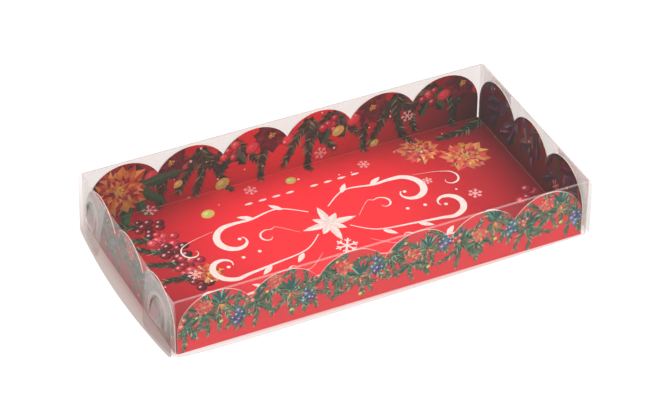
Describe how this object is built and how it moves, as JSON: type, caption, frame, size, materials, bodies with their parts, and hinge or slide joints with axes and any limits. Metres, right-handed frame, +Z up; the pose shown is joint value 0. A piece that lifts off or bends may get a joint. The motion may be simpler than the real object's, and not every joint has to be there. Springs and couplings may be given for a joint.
{
  "type": "gift box with clear lid",
  "caption": "Shallow rectangular gift box: a scalloped tray of printed board inside a lift-off lid folded from clear plastic with tongue-locked ends.",
  "frame": {"origin": "on the table, under the middle of the closed box's outer extents", "axes": "+X along the long side, away from the end that bows out most; +Y to the back; +Z up"},
  "size_m": [0.2173, 0.1102, 0.031],
  "materials": {
    "printed_board": "gloss laminated print",
    "clear_plastic": "clear"
  },
  "bodies": {
    "tray_base": {"tray_floor": "printed_board"},
    "tray_front": {"tray_front_wall": "printed_board"},
    "tray_back": {"tray_back_wall": "printed_board"},
    "tray_left": {"tray_left_wall": "printed_board"},
    "tray_right": {"tray_right_wall": "printed_board"},
    "lid": {"lid_top": "clear_plastic", "lid_front_wall": "clear_plastic", "lid_back_wall": "clear_plastic"},
    "left_end": {"lid_left_end_panel": "clear_plastic"},
    "right_end": {"lid_right_end_panel": "clear_plastic"},
    "left_front_flap": {"left_front_corner_flap": "clear_plastic"},
    "left_back_flap": {"left_back_corner_flap": "clear_plastic"},
    "right_front_flap": {"right_front_corner_flap": "clear_plastic"},
    "right_back_flap": {"right_back_corner_flap": "clear_plastic"},
    "left_front_tongue": {"left_front_lock_tongue": "clear_plastic"},
    "left_back_tongue": {"left_back_lock_tongue": "clear_plastic"},
    "right_front_tongue": {"right_front_lock_tongue": "clear_plastic"},
    "right_back_tongue": {"right_back_lock_tongue": "clear_plastic"}
  },
  "joints": [
    {"name": "lid_lift", "type": "slide", "parent": "tray_base", "child": "lid", "axis": [0, 0, 1], "range_m": [0, 0.08]},
    {"name": "tray_front_crease", "type": "hinge", "parent": "tray_base", "child": "tray_front", "pos_m": [0.0015, -0.0513, 0.0002], "axis": [-1, 0, 0], "range_deg": [0, 2.5], "stiffness_Nm_per_rad": 0.005},
    {"name": "tray_back_crease", "type": "hinge", "parent": "tray_base", "child": "tray_back", "pos_m": [0.0015, 0.0513, 0.0002], "axis": [1, 0, 0], "range_deg": [0, 2.5], "stiffness_Nm_per_rad": 0.005},
    {"name": "tray_left_crease", "type": "hinge", "parent": "tray_base", "child": "tray_left", "pos_m": [-0.10165, 0, 0.0002], "axis": [0, 1, 0], "range_deg": [0, 2.5], "stiffness_Nm_per_rad": 0.004},
    {"name": "tray_right_crease", "type": "hinge", "parent": "tray_base", "child": "tray_right", "pos_m": [0.10465, 0, 0.0002], "axis": [0, -1, 0], "range_deg": [0, 2.5], "stiffness_Nm_per_rad": 0.004},
    {"name": "left_end_crease", "type": "hinge", "parent": "lid", "child": "left_end", "pos_m": [-0.1032, 0, 0.03085], "axis": [0, 1, 0], "range_deg": [0, 90]},
    {"name": "right_end_crease", "type": "hinge", "parent": "lid", "child": "right_end", "pos_m": [0.1065, 0, 0.03085], "axis": [0, -1, 0], "range_deg": [0, 90]},
    {"name": "left_front_flap_crease", "type": "hinge", "parent": "lid", "child": "left_front_flap", "pos_m": [-0.1026, -0.05205, 0.0155], "axis": [0, 0, -1], "range_deg": [0, 2], "stiffness_Nm_per_rad": 0.001},
    {"name": "left_back_flap_crease", "type": "hinge", "parent": "lid", "child": "left_back_flap", "pos_m": [-0.1026, 0.05205, 0.0155], "axis": [0, 0, 1], "range_deg": [0, 2], "stiffness_Nm_per_rad": 0.001},
    {"name": "right_front_flap_crease", "type": "hinge", "parent": "lid", "child": "right_front_flap", "pos_m": [0.1059, -0.05205, 0.0155], "axis": [0, 0, 1], "range_deg": [0, 2], "stiffness_Nm_per_rad": 0.001},
    {"name": "right_back_flap_crease", "type": "hinge", "parent": "lid", "child": "right_back_flap", "pos_m": [0.1059, 0.05205, 0.0155], "axis": [0, 0, -1], "range_deg": [0, 2], "stiffness_Nm_per_rad": 0.001},
    {"name": "left_front_tongue_crease", "type": "hinge", "parent": "left_end", "child": "left_front_tongue", "pos_m": [-0.10595, -0.0377, 0.0105], "axis": [-0.0605, 0.9982, 0], "range_deg": [-9, 2], "stiffness_Nm_per_rad": 0.0002},
    {"name": "left_back_tongue_crease", "type": "hinge", "parent": "left_end", "child": "left_back_tongue", "pos_m": [-0.10595, 0.0377, 0.0105], "axis": [0.0605, 0.9982, 0], "range_deg": [-9, 2], "stiffness_Nm_per_rad": 0.0002},
    {"name": "right_front_tongue_crease", "type": "hinge", "parent": "right_end", "child": "right_front_tongue", "pos_m": [0.10781, -0.0377, 0.0105], "axis": [-0.0024, -1, 0], "range_deg": [-9, 2], "stiffness_Nm_per_rad": 0.0002},
    {"name": "right_back_tongue_crease", "type": "hinge", "parent": "right_end", "child": "right_back_tongue", "pos_m": [0.10781, 0.0377, 0.0105], "axis": [0.0024, -1, 0], "range_deg": [-9, 2], "stiffness_Nm_per_rad": 0.0002}
  ]
}
